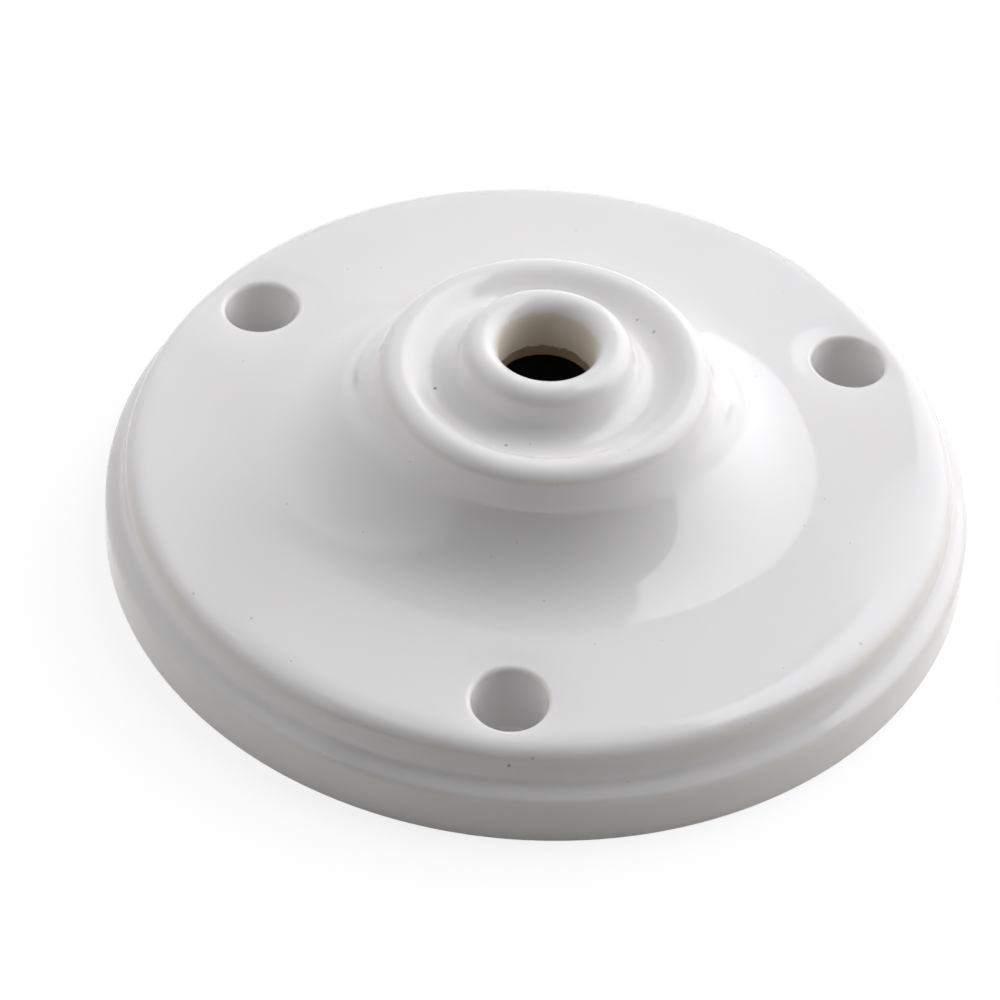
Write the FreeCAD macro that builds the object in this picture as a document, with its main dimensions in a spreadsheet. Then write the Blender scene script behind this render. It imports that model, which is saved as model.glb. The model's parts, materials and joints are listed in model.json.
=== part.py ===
"""Ceiling rose of glazed porcelain: one pressed and turned piece with a moulded face and a hollow back."""

import FreeCAD
import Part
import Sketcher
import math
import os
from FreeCAD import Vector

NODE = "ceiling_rose"

# Driving dimensions in millimetres and degrees: alias, value, what it measures.
SIZES = (
    ("base_diameter", 100.0, "across the band, which lies against the ceiling"),
    ("band_height", 6.6, "height of the upright band"),
    ("band_round", 1.2, "rounding of the band's upper edge"),
    ("foot_round", 0.3, "rounding of the band's lower edge"),
    ("cove_inset", 2.15, "how far the bead stands inside the band"),
    ("cove_rise", 2.25, "from the top of the band up to the crease under the bead"),
    ("cove_round", 2.3, "radius of the hollow cove between band and bead"),
    ("bead_round", 2.6, "radius of the bead at the edge of the plate"),
    ("bead_rise", 0.35, "from the crease up to the widest line of the bead"),
    ("plate_slope", 4.5, "angle at which the plate rises towards the middle"),
    ("flare_diameter", 62.0, "where the plate begins to sweep up to the neck"),
    ("ring_diameter", 37.8, "across the ring's outer edge, at the top of the flare"),
    ("ring_round", 2.5, "radius of the ring's rounded top"),
    ("ring_rise", 12.92, "from the foot of the flare up to the crest of the ring"),
    ("ring_drop", 1.1, "from the crest of the ring down to its outer edge"),
    ("collar_rise", 3.48, "from the crest of the ring up to the top of the collar"),
    ("collar_wall", 4.4, "thickness of the collar, whose lip is a half round"),
    ("collar_side", 0.5, "straight side of the collar, from its lip down to the groove"),
    ("bore_diameter", 11.0, "hole for the flex or its threaded tube"),
    ("bore_length", 7.8, "from the top of the collar down to the hollow"),
    ("bore_edge_round", 0.6, "rounding of the bore where it opens into the hollow"),
    ("glaze_round", 0.5, "rounding that the glaze gives the ring's outer edge"),
    ("rim_wall", 6.0, "width of the rim that meets the ceiling"),
    ("plate_wall", 6.0, "thickness of the plate at the foot of the flare"),
    ("hollow_round", 2.5, "rounding where the hollow's wall meets its roof"),
    ("dome_ledge", 3.0, "flat roof of the hollow round the bore"),
    ("dome_round", 5.0, "rounding at the edge of that flat roof"),
    ("screw_inset", 10.0, "from the edge of the base in to a screw's axis"),
    ("screw_count", 3, "fixing screws, evenly spaced"),
    ("head_diameter", 8.6, "recess for a screw's head"),
    ("shank_diameter", 4.5, "clearance hole for a screw's shank"),
    ("seat_thickness", 3.0, "porcelain under a screw's head"),
    ("mouth_round", 0.6, "rounding of the mouth of a screw's recess"),
    ("pillar_wall", 2.4, "porcelain round a screw's recess behind the plate"),
)

# Sizes that follow from the driving ones: alias and formula.
DERIVED = (
    ("base_radius", "base_diameter / 2"),
    ("bead_radius", "base_radius - cove_inset - bead_round"),
    ("crease_radius", "bead_radius + sqrt(bead_round ^ 2 - bead_rise ^ 2)"),
    ("crease_height", "band_height + cove_rise"),
    ("bead_height", "crease_height + bead_rise"),
    ("flare_radius", "flare_diameter / 2"),
    ("bead_top", "bead_height + bead_round / cos(plate_slope)"),
    ("plate_height", "bead_top + (bead_radius - flare_radius) * tan(plate_slope)"),
    ("crest_height", "plate_height + ring_rise"),
    ("edge_radius", "ring_diameter / 2"),
    ("edge_height", "crest_height - ring_drop"),
    ("ring_radius", "edge_radius - sqrt(2 * ring_round * ring_drop - ring_drop ^ 2)"),
    ("ring_height", "crest_height - ring_round"),
    ("bore_radius", "bore_diameter / 2"),
    ("collar_radius", "bore_radius + collar_wall"),
    ("lip_round", "collar_wall / 2"),
    ("lip_height", "crest_height + collar_rise - lip_round"),
    ("groove_height", "lip_height - collar_side"),
    ("groove_width", "ring_radius - collar_radius"),
    ("groove_reach", "groove_width ^ 2 + (groove_height - ring_height) ^ 2"),
    ("groove_round", "(groove_reach - ring_round ^ 2) / (2 * (groove_width + ring_round))"),
    ("hollow_radius", "base_radius - rim_wall"),
    ("roof_height", "plate_height - plate_wall"),
    ("dome_radius", "bore_radius + dome_ledge"),
    ("dome_height", "crest_height + collar_rise - bore_length"),
    ("screw_radius", "base_radius - screw_inset"),
    ("pillar_diameter", "head_diameter + 2 * pillar_wall"),
    ("pillar_height", "roof_height + plate_wall / 2"),
)

# Ends of a sketch's curves, and the sketch's own origin.
START, END, CENTRE = 1, 2, 3
ORIGIN = (-1, 1)
FULL_TURN = 360.0
FULL_CIRCLE = 2 * math.pi
QUARTER_CIRCLE = math.pi / 2

# How an edge is told from its neighbours: points tried along it, and how near counts as on it.
EDGE_SAMPLES = 9
NEAR = 0.01


def make_sheet(doc):
    """The spreadsheet with the driving sizes first and what follows from them below."""
    sheet = doc.addObject("Spreadsheet::Sheet", "sizes")
    rows = [(alias, str(value), note) for alias, value, note in SIZES]
    rows += [(alias, "=" + formula, "worked out") for alias, formula in DERIVED]
    for row, (alias, content, note) in enumerate(rows, start=1):
        sheet.set(f"A{row}", alias)
        sheet.set(f"B{row}", content)
        sheet.set(f"C{row}", note)
        sheet.setAlias(f"B{row}", alias)
    doc.recompute()
    return sheet


def origin_feature(body, role):
    return next(item for item in body.Origin.OriginFeatures if item.Role == role)


def new_sketch(body, name, role):
    sketch = body.newObject("Sketcher::SketchObject", name)
    sketch.AttachmentSupport = [(origin_feature(body, role), "")]
    sketch.MapMode = "FlatFace"
    return sketch


def line(sketch, start, end):
    return sketch.addGeometry(Part.LineSegment(start, end), False)


def arc(sketch, centre, start, end):
    """An arc that runs counter-clockwise about its centre from start to end."""
    circle = Part.Circle(centre, Vector(0, 0, 1), (start - centre).Length)
    angles = [math.atan2(p.y - centre.y, p.x - centre.x) for p in (start, end)]
    return sketch.addGeometry(Part.ArcOfCircle(circle, *angles), False)


def bind(sketch, name, constraint, size):
    """Adds a named dimension that takes its value from the sheet."""
    sketch.renameConstraint(sketch.addConstraint(constraint), name)
    sketch.setExpression(f"Constraints.{name}", f"sizes.{size}")


def across(sketch, point, value, size):
    """Ties a point's distance from the axis to a size."""
    bind(sketch, f"{size}_x", Sketcher.Constraint("DistanceX", *ORIGIN, *point, value), size)


def above(sketch, point, value, size):
    """Ties a point's height over the back plane to a size."""
    bind(sketch, f"{size}_y", Sketcher.Constraint("DistanceY", *ORIGIN, *point, value), size)


def radius(sketch, curve, value, size):
    bind(sketch, size, Sketcher.Constraint("Radius", curve, value), size)


def close_loop(sketch, path):
    """Joins each curve of a closed path to the next; path holds (curve, entry, exit, runs on smoothly)."""
    for here, there in zip(path, path[1:] + path[:1]):
        curve, _, leaving, smooth = here
        kind = "Tangent" if smooth else "Coincident"
        sketch.addConstraint(Sketcher.Constraint(kind, curve, leaving, there[0], there[1]))


def hold_square(sketch, level, upright):
    """Keeps some lines level and others upright."""
    for curve in level:
        sketch.addConstraint(Sketcher.Constraint("Horizontal", curve))
    for curve in upright:
        sketch.addConstraint(Sketcher.Constraint("Vertical", curve))


def arc_centre(start, normal, end):
    """Centre of the arc that leaves start square to a normal and passes through end."""
    chord = end - start
    return start + normal * (chord.dot(chord) / (2 * chord.dot(normal)))


def left_crossing(first, first_radius, second, second_radius):
    """Where two circles cross, to the left of the way from the first centre to the second."""
    apart = second - first
    along = (first_radius ** 2 - second_radius ** 2 + apart.dot(apart)) / (2 * apart.Length)
    aside = math.sqrt(first_radius ** 2 - along ** 2)
    unit = apart / apart.Length
    return first + unit * along + Vector(-unit.y, unit.x, 0) * aside


def draw_face(sketch, s):
    """Half the section of the turned face, from the back plane out over the band and in to the bore."""
    foot = Vector(s.base_radius - s.foot_round, s.foot_round, 0)
    ledge = Vector(s.base_radius - s.band_round, s.band_height - s.band_round, 0)
    bead = Vector(s.bead_radius, s.bead_height, 0)
    crease = Vector(s.crease_radius, s.crease_height, 0)
    slope = math.radians(s.plate_slope)
    plate_normal = Vector(math.sin(slope), math.cos(slope), 0)
    flare_foot = Vector(s.flare_radius, s.plate_height, 0)
    ring = Vector(s.ring_radius, s.ring_height, 0)
    ring_edge = Vector(s.edge_radius, s.edge_height, 0)
    flare = arc_centre(flare_foot, plate_normal, ring_edge)
    groove = Vector(s.collar_radius + s.groove_round, s.groove_height, 0)
    inner_side = ring + (groove - ring).normalize() * s.ring_round
    collar_foot = groove - Vector(s.groove_round, 0, 0)
    lip = Vector(s.bore_radius + s.lip_round, s.lip_height, 0)
    lip_reach = Vector(s.lip_round, 0, 0)
    cove_start = ledge + Vector(0, s.band_round, 0)
    cove = left_crossing(crease, s.cove_round, cove_start, s.cove_round)

    back = line(sketch, Vector(s.bore_radius, 0, 0), Vector(foot.x, 0, 0))
    foot_arc = arc(sketch, foot, Vector(foot.x, 0, 0), foot + Vector(s.foot_round, 0, 0))
    band = line(sketch, Vector(s.base_radius, foot.y, 0), Vector(s.base_radius, ledge.y, 0))
    band_arc = arc(sketch, ledge, ledge + Vector(s.band_round, 0, 0), cove_start)
    cove_arc = arc(sketch, cove, crease, cove_start)
    bead_arc = arc(sketch, bead, crease, bead + plate_normal * s.bead_round)
    plate = line(sketch, bead + plate_normal * s.bead_round, flare_foot)
    flare_arc = arc(sketch, flare, ring_edge, flare_foot)
    ring_arc = arc(sketch, ring, ring_edge, inner_side)
    groove_arc = arc(sketch, groove, collar_foot, inner_side)
    collar = line(sketch, collar_foot, lip + lip_reach)
    lip_arc = arc(sketch, lip, lip + lip_reach, lip - lip_reach)
    bore = line(sketch, lip - lip_reach, Vector(s.bore_radius, 0, 0))

    close_loop(sketch, [
        (back, START, END, True),
        (foot_arc, START, END, True),
        (band, START, END, True),
        (band_arc, START, END, False),
        (cove_arc, END, START, False),
        (bead_arc, START, END, True),
        (plate, START, END, True),
        (flare_arc, END, START, False),
        (ring_arc, START, END, True),
        (groove_arc, END, START, True),
        (collar, START, END, True),
        (lip_arc, START, END, True),
        (bore, START, END, False),
    ])
    hold_square(sketch, level=[back], upright=[band, collar, bore])
    sketch.addConstraint(Sketcher.Constraint("PointOnObject", back, START, -1))
    sketch.addConstraint(Sketcher.Constraint("Vertical", band_arc, CENTRE, band_arc, END))
    across(sketch, (band, START), s.base_radius, "base_radius")
    radius(sketch, foot_arc, s.foot_round, "foot_round")
    radius(sketch, band_arc, s.band_round, "band_round")
    above(sketch, (band_arc, END), s.band_height, "band_height")
    radius(sketch, cove_arc, s.cove_round, "cove_round")
    above(sketch, (bead_arc, START), s.crease_height, "crease_height")
    radius(sketch, bead_arc, s.bead_round, "bead_round")
    across(sketch, (bead_arc, CENTRE), s.bead_radius, "bead_radius")
    above(sketch, (bead_arc, CENTRE), s.bead_height, "bead_height")
    across(sketch, (plate, END), s.flare_radius, "flare_radius")
    above(sketch, (plate, END), s.plate_height, "plate_height")
    radius(sketch, ring_arc, s.ring_round, "ring_round")
    across(sketch, (ring_arc, CENTRE), s.ring_radius, "ring_radius")
    above(sketch, (ring_arc, CENTRE), s.ring_height, "ring_height")
    across(sketch, (ring_arc, START), s.edge_radius, "edge_radius")
    radius(sketch, groove_arc, s.groove_round, "groove_round")
    radius(sketch, lip_arc, s.lip_round, "lip_round")
    above(sketch, (lip_arc, CENTRE), s.lip_height, "lip_height")
    across(sketch, (bore, END), s.bore_radius, "bore_radius")


def draw_hollow(sketch, s):
    """Half the section of the hollow behind the face: rim wall, roof, inner flare and flat round the bore."""
    corner = Vector(s.hollow_radius - s.hollow_round, s.roof_height - s.hollow_round, 0)
    roof_end = Vector(s.flare_radius, s.roof_height, 0)
    dome = Vector(s.dome_radius, s.dome_height - s.dome_round, 0)
    offset = roof_end - dome
    sweep = (offset.dot(offset) - s.dome_round ** 2) / (2 * (s.dome_round - offset.y))
    flare = roof_end + Vector(0, sweep, 0)
    meeting = dome + (flare - dome).normalize() * s.dome_round
    crown = dome + Vector(0, s.dome_round, 0)
    axis_top = Vector(0, s.dome_height, 0)

    mouth = line(sketch, Vector(0, 0, 0), Vector(s.hollow_radius, 0, 0))
    wall = line(sketch, Vector(s.hollow_radius, 0, 0), Vector(s.hollow_radius, corner.y, 0))
    corner_arc = arc(sketch, corner, Vector(s.hollow_radius, corner.y, 0), Vector(corner.x, s.roof_height, 0))
    roof = line(sketch, Vector(corner.x, s.roof_height, 0), roof_end)
    flare_arc = arc(sketch, flare, meeting, roof_end)
    dome_arc = arc(sketch, dome, meeting, crown)
    flat = line(sketch, crown, axis_top)
    axis = line(sketch, axis_top, Vector(0, 0, 0))

    close_loop(sketch, [
        (mouth, START, END, False),
        (wall, START, END, True),
        (corner_arc, START, END, True),
        (roof, START, END, True),
        (flare_arc, END, START, True),
        (dome_arc, START, END, True),
        (flat, START, END, False),
        (axis, START, END, False),
    ])
    hold_square(sketch, level=[mouth, roof, flat], upright=[wall, axis])
    sketch.addConstraint(Sketcher.Constraint("Coincident", mouth, START, *ORIGIN))
    across(sketch, (wall, START), s.hollow_radius, "hollow_radius")
    radius(sketch, corner_arc, s.hollow_round, "hollow_round")
    above(sketch, (roof, END), s.roof_height, "roof_height")
    across(sketch, (roof, END), s.flare_radius, "flare_radius")
    radius(sketch, dome_arc, s.dome_round, "dome_round")
    across(sketch, (dome_arc, CENTRE), s.dome_radius, "dome_radius")
    above(sketch, (flat, END), s.dome_height, "dome_height")


def screw_sketch(body, name, s, size):
    """A sketch on the back plane with one circle about the axis of the first screw."""
    sketch = new_sketch(body, name, "XY_Plane")
    width = getattr(s, size)
    centre = Vector(0, -s.screw_radius, 0)
    circle = sketch.addGeometry(Part.Circle(centre, Vector(0, 0, 1), width / 2), False)
    reach = Sketcher.Constraint("DistanceY", circle, CENTRE, *ORIGIN, s.screw_radius)
    sketch.addConstraint(Sketcher.Constraint("PointOnObject", circle, CENTRE, -2))
    bind(sketch, "screw_radius", reach, "screw_radius")
    bind(sketch, size, Sketcher.Constraint("Diameter", circle, width), size)
    return sketch


def turn(body, kind, name, draw, s):
    """A section drawn on the upright plane and turned once round the axis."""
    sketch = new_sketch(body, f"{name}_section", "XZ_Plane")
    draw(sketch, s)
    feature = body.newObject(kind, name)
    feature.Profile = sketch
    feature.ReferenceAxis = (sketch, ["V_Axis"])
    feature.Angle = FULL_TURN
    return feature


def raise_pillar(body, s):
    """The pillar behind the plate that carries a screw's clamping force to the ceiling."""
    pillar = body.newObject("PartDesign::Pad", "pillar")
    pillar.Profile = screw_sketch(body, "pillar_section", s, "pillar_diameter")
    pillar.setExpression("Length", "sizes.pillar_height")
    return pillar


def sink_hole(body, name, s, size):
    """A round hole along a screw's axis, cut upwards out of the face from its sketch."""
    hole = body.newObject("PartDesign::Pocket", name)
    hole.Profile = screw_sketch(body, f"{name}_section", s, size)
    hole.Type = "ThroughAll"
    hole.Reversed = True
    return hole


def repeat_round(body, name, features):
    """Repeats features once for each screw, evenly about the axis."""
    pattern = body.newObject("PartDesign::PolarPattern", name)
    pattern.Originals = features
    pattern.Axis = (origin_feature(body, "Z_Axis"), [""])
    pattern.Angle = FULL_TURN
    pattern.setExpression("Occurrences", "sizes.screw_count")
    body.Tip = pattern
    return pattern


def round_edges(doc, body, name, chosen, size):
    """Rounds the edges of the tip that a test picks out."""
    doc.recompute()
    base = body.Tip
    edges = [f"Edge{n}" for n, edge in enumerate(base.Shape.Edges, start=1) if chosen(edge)]
    if not edges:
        raise RuntimeError(f"{name}: no edge to round")
    fillet = body.newObject("PartDesign::Fillet", name)
    fillet.Base = (base, edges)
    fillet.setExpression("Radius", f"sizes.{size}")
    body.Tip = fillet
    return fillet


def from_screw(point, s):
    """Distance of a point from the axis of the nearest screw; the first screw is in front, on -Y."""
    pitch = FULL_CIRCLE / s.screw_count
    angle = math.atan2(point.y, point.x) + QUARTER_CIRCLE
    offset = angle - pitch * round(angle / pitch)
    reach = math.hypot(point.x, point.y)
    return math.hypot(reach * math.cos(offset) - s.screw_radius, reach * math.sin(offset))


def is_ring_edge(edge, s):
    """The circle where the flare meets the ring."""
    at_height = abs(edge.CenterOfMass.z - s.edge_height) < NEAR
    return edge.isClosed() and at_height and abs(edge.Length - FULL_CIRCLE * s.edge_radius) < NEAR


def is_mouth(edge, s):
    """An edge of a screw's recess on the face of the plate."""
    return all(
        point.z > s.roof_height and abs(from_screw(point, s) - s.head_diameter / 2) < NEAR
        for point in edge.discretize(EDGE_SAMPLES)
    )


def is_bore_end(edge, s):
    """The circle where the bore opens into the roof of the hollow."""
    at_roof = abs(edge.CenterOfMass.z - s.dome_height) < s.bore_edge_round
    return edge.isClosed() and at_roof and edge.Length < FULL_CIRCLE * s.dome_radius


def make_rose(doc, s):
    body = doc.addObject("PartDesign::Body", NODE)
    body.Label = NODE
    turn(body, "PartDesign::Revolution", "face", draw_face, s)
    round_edges(doc, body, "ring_edge", lambda edge: is_ring_edge(edge, s), "glaze_round")
    doc.recompute()
    turned = body.Shape.Volume
    turn(body, "PartDesign::Groove", "hollow", draw_hollow, s)
    doc.recompute()
    hollowed = body.Shape.Volume
    repeat_round(body, "pillars", [raise_pillar(body, s)])
    doc.recompute()
    carried = body.Shape.Volume
    head = sink_hole(body, "head_recess", s, "head_diameter")
    head.Profile[0].setExpression("AttachmentOffset.Base.z", "sizes.seat_thickness")
    shank = sink_hole(body, "shank_hole", s, "shank_diameter")
    repeat_round(body, "screw_holes", [head, shank])
    doc.recompute()
    drilled = body.Shape.Volume
    if not turned > hollowed < carried > drilled:
        raise RuntimeError(f"a cut or a pillar did nothing: {turned} {hollowed} {carried} {drilled}")
    round_edges(doc, body, "mouths", lambda edge: is_mouth(edge, s), "mouth_round")
    round_edges(doc, body, "bore_end", lambda edge: is_bore_end(edge, s), "bore_edge_round")
    doc.recompute()
    return body


def check(doc, body):
    """Stops before anything is written if an object failed or the solid isn't sound."""
    for item in doc.Objects:
        if {"Invalid", "Error"} & set(item.State):
            raise RuntimeError(f"{item.Name}: {item.State}")
    shape = body.Shape
    if shape.isNull() or not shape.isValid() or len(shape.Solids) != 1:
        raise RuntimeError(f"{body.Label}: not one sound solid")


def main():
    doc = FreeCAD.newDocument("rose")
    sizes = make_sheet(doc)
    rose = make_rose(doc, sizes)
    check(doc, rose)
    os.makedirs("parts", exist_ok=True)
    rose.Shape.exportStep(f"parts/{rose.Label}.step")
    box = rose.Shape.optimalBoundingBox()
    print(f"{rose.Label}: {box.XLength:.2f} x {box.YLength:.2f} x {box.ZLength:.2f} mm")


main()
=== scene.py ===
"""Glazed porcelain ceiling rose: the turned body in fine mesh, its glaze, and a small white studio."""

import bisect
import json
import math

import bmesh
import bpy
from bpy.props import FloatProperty, FloatVectorProperty, IntProperty, PointerProperty
from bpy.types import Operator, Panel, PropertyGroup
from mathutils import Matrix, Vector


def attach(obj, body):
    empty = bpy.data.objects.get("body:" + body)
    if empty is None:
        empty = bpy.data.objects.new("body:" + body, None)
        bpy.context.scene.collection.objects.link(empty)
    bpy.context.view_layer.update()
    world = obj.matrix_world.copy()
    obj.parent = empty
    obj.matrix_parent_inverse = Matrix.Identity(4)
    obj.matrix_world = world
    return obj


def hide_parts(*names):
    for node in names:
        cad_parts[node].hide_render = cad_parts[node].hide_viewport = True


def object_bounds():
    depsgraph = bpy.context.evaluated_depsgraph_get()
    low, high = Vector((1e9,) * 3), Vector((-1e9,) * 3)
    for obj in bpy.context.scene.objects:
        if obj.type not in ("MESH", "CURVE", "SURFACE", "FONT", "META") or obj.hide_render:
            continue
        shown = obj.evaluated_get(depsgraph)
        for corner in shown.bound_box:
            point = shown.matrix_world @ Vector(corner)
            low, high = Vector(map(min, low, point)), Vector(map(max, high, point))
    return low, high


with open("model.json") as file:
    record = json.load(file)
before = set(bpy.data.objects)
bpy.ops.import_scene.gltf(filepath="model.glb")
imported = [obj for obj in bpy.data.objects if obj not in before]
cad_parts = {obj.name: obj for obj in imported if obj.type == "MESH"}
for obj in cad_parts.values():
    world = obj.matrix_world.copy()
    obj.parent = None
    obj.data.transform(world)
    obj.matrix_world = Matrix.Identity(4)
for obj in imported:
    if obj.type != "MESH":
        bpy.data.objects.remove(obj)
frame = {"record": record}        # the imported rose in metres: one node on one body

bl_info = {
    "name": "Porcelain ceiling rose",
    "version": (1, 0, 0),
    "blender": (4, 5, 0),
    "location": "View3D > Sidebar > Rose",
    "description": "Turns, glazes and lights a porcelain ceiling rose round its packed solid",
    "category": "Object",
}

CAD_BOX = [list(corner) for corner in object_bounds()]
CAD_REACH = min(abs(side) for corner in CAD_BOX for side in corner[:2])
NODE = "ceiling_rose"
BODY = "root"
MM = 0.001
WHITE = (1.0, 1.0, 1.0)
MOUNTS = {mount["name"]: mount["dims"] for mount in frame["record"]["mounts"]}
SCREWS = MOUNTS["screw_holes"]
FULL_TURN = 2 * math.pi
FIRST_SCREW = -math.pi / 2
UP = Vector((0.0, 0.0, 1.0))
PILLAR_COLUMNS = 64
SHARP_TURN = math.radians(40.0)
SENSOR_WIDTH = 36.0
NEAR_CLIP = 10 * MM


def length(name, millimetres, note):
    """A size of the rose, given in millimetres and kept in metres."""
    return FloatProperty(
        name=name, description=note, default=millimetres * MM, min=0.0, unit="LENGTH", precision=5
    )


def angle(name, degrees, note):
    """An angle, given in degrees and kept in radians."""
    return FloatProperty(name=name, description=note, default=math.radians(degrees), subtype="ANGLE")


def amount(name, value, note):
    """A plain number that isn't negative."""
    return FloatProperty(name=name, description=note, default=value, min=0.0)


def colour(name, value, note):
    """A linear colour."""
    return FloatVectorProperty(
        name=name, description=note, default=value, subtype="COLOR", min=0.0, max=1.0
    )


class RoseSizes(PropertyGroup):
    """Sizes of the turned body."""

    base_diameter: length("Base", 2 * CAD_REACH / MM, "Across the band, inside the packed solid")
    foot_round: length("Foot rounding", 0.3, "Rounding of the band's lower edge")
    band_height: length("Band height", 6.6, "Height of the upright band")
    band_round: length("Band rounding", 1.2, "Rounding of the band's upper edge")
    cove_inset: length("Cove inset", 2.15, "How far the bead stands inside the band")
    cove_rise: length("Cove rise", 2.25, "From the band up to the crease under the bead")
    cove_round: length("Cove radius", 2.3, "Radius of the hollow cove")
    bead_round: length("Bead radius", 2.6, "Radius of the bead at the plate's edge")
    bead_rise: length("Bead rise", 0.35, "From the crease to the bead's widest line")
    plate_slope: angle("Plate slope", 4.5, "How the plate rises towards the middle")
    flare_diameter: length("Flare", 62.0, "Where the plate begins to sweep up")
    ring_diameter: length("Ring", 37.8, "Across the ring's outer edge, at the top of the flare")
    ring_round: length("Ring radius", 2.5, "Radius of the ring's rounded top")
    ring_rise: length("Ring rise", 12.92, "From the foot of the flare to the ring's crest")
    ring_drop: length("Ring drop", 1.1, "From the ring's crest to its outer edge")
    collar_rise: length("Collar rise", 3.48, "From the ring's crest to the collar's top")
    collar_wall: length("Collar wall", 4.4, "Thickness of the collar")
    collar_side: length("Collar side", 0.5, "From the collar's lip down to the groove")
    bore_diameter: length("Bore", 2 * MOUNTS["cable_bore"]["r_mm"], "Hole for the flex")
    bore_length: length("Bore length", 7.8, "From the collar's top to the hollow")
    bore_edge_round: length("Bore end", 0.6, "Rounding of the bore at the hollow")
    rim_wall: length("Rim", 6.0, "Width of the rim at the back")
    plate_wall: length("Plate wall", 6.0, "Thickness of the plate at the foot of the flare")
    hollow_round: length("Hollow rounding", 2.5, "Rounding of the hollow's outer corner")
    dome_ledge: length("Dome ledge", 3.0, "Flat roof of the hollow round the bore")
    dome_round: length("Dome rounding", 5.0, "Rounding at the edge of that roof")
    back_round: length("Back edges", 0.4, "Rounding of the edges that meet the ceiling")
    screw_circle: length("Screw circle", SCREWS["pcd_mm"], "Circle through the screws' axes")
    head_diameter: length("Recess", 8.6, "Recess for a screw's head")
    shank_diameter: length("Shank hole", 2 * SCREWS["hole_r_mm"], "Hole for a screw's shank")
    seat_thickness: length("Seat", 3.0, "Porcelain under a screw's head")
    mouth_round: length("Mouth rounding", 0.6, "Rounding of a recess's mouth")
    pillar_wall: length("Pillar wall", 2.4, "Porcelain round a recess behind the plate")
    dish_depth: length("Dish depth", 0.22, "How far the plate sinks beside a recess")
    dish_reach: length("Dish reach", 2.4, "How far that sinking reaches")
    glaze_flow: length("Glaze flow", 0.7, "How far the glaze softens every corner")
    columns: IntProperty(
        name="Columns", description="Columns of faces round the axis", default=288, min=96
    )


class GlazeLook(PropertyGroup):
    """Colours and finish of the porcelain."""

    glaze: colour("Glaze", (0.915, 0.905, 0.895), "White glaze over the body")
    # Warm colour of glaze drawn thin over the bead, band and mouths; it also paints the shade in the
    # crease where the flare meets the ring.
    thin_glaze_and_crease_shade: colour("Thin glaze", (0.84, 0.78, 0.70), "Glaze drawn thin over an edge")
    clay: colour("Clay", (0.80, 0.76, 0.69), "Bare fired clay of the back")
    bisque: colour("Bisque", (0.82, 0.755, 0.655), "Bare clay of the bore")
    # Dark brown over the bore's lower end, below a ragged edge.
    dark_bore_end: colour("Stain", (0.42, 0.32, 0.235), "Dark clay at the end of the bore")
    iron: colour("Iron", (0.03, 0.026, 0.022), "Black iron speck under the glaze")
    rust: colour("Rust", (0.42, 0.27, 0.14), "Rusty iron speck")
    depth: length("Depth", 1.6, "How far light spreads under the glaze")
    scatter: amount("Scatter", 0.4, "Share of the light that spreads under the glaze")
    glaze_roughness: amount("Glaze roughness", 0.06, "Roughness of the glaze")
    bisque_roughness: amount("Bisque roughness", 0.75, "Roughness of the bare clay")


class StudioLook(PropertyGroup):
    """Light and camera."""

    light: colour("Light", (0.978, 0.974, 1.0), "Colour of the light")
    right_wall: amount("Right wall", 3.12, "Brightness of the light tent's right wall")
    left_wall: amount("Left wall", 1.16, "Brightness of the light tent's left wall")
    back_wall: amount("Back wall", 0.73, "Brightness of the light tent's back wall")
    roof: amount("Roof", 0.48, "Brightness of the light tent's roof, over its back half")
    paper: colour("Paper", (0.58, 0.56, 0.53), "Paper under the rose, as it scatters light")
    seen_paper: colour("Seen paper", (0.25, 0.25, 0.25), "Paper as it shows the rose's shadow")
    paper_glow: amount("Paper glow", 0.82, "What the paper adds to show white, away from the rose")
    elevation: angle("Camera elevation", 44.25, "Height of the camera over the floor")
    azimuth: angle("Camera azimuth", 2.1, "Turn of the camera to the right of the front screw")
    roll: angle("Camera roll", 3.55, "Lean of the camera")
    distance: length("Camera distance", 650.0, "From the camera to the middle of the back")
    aim_left: length("Aim", 4.25, "How far to the left of the axis the camera aims")
    aim_height: length("Aim height", 3.6, "Height of the point aimed at")
    lens: amount("Lens", 200.7, "Focal length in millimetres")


def left_crossing(first, first_radius, second, second_radius):
    """Where two circles cross, to the left of the way from the first centre to the second."""
    apart = second - first
    along = (first_radius ** 2 - second_radius ** 2 + apart.length_squared) / (2 * apart.length)
    unit = apart.normalized()
    aside = math.sqrt(first_radius ** 2 - along ** 2)
    return first + unit * along + Vector((-unit.y, unit.x)) * aside


def walk_line(start, end, step):
    """Points along a straight line, a step apart at most."""
    count = max(1, math.ceil((end - start).length / step))
    return [start.lerp(end, k / count) for k in range(count + 1)]


def walk_arc(centre, start, end, step, turning=1):
    """Points along an arc, counter-clockwise for turning 1 and clockwise for -1."""
    first, last = start - centre, end - centre
    begin = math.atan2(first.y, first.x)
    swing = (math.atan2(last.y, last.x) - begin) * turning % FULL_TURN
    count = max(2, math.ceil(swing * first.length / step))
    reach = first.length
    angles = [begin + turning * swing * k / count for k in range(count + 1)]
    return [centre + Vector((math.cos(a), math.sin(a))) * reach for a in angles]


def soften(points, flow, step):
    """Lets glaze flow round the corners of an evenly stepped line: a running Gaussian mean."""
    span = math.ceil(3 * flow / step)
    weights = [math.exp(-0.5 * (k * step / flow) ** 2) for k in range(-span, span + 1)]
    total = sum(weights)
    soft = []
    for place in range(len(points)):
        if place < span or place >= len(points) - span:
            soft.append(points[place].copy())
            continue
        mean = Vector((0.0, 0.0))
        for weight, point in zip(weights, points[place - span:place + span + 1]):
            mean += point * weight
        soft.append(mean / total)
    return soft


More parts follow.
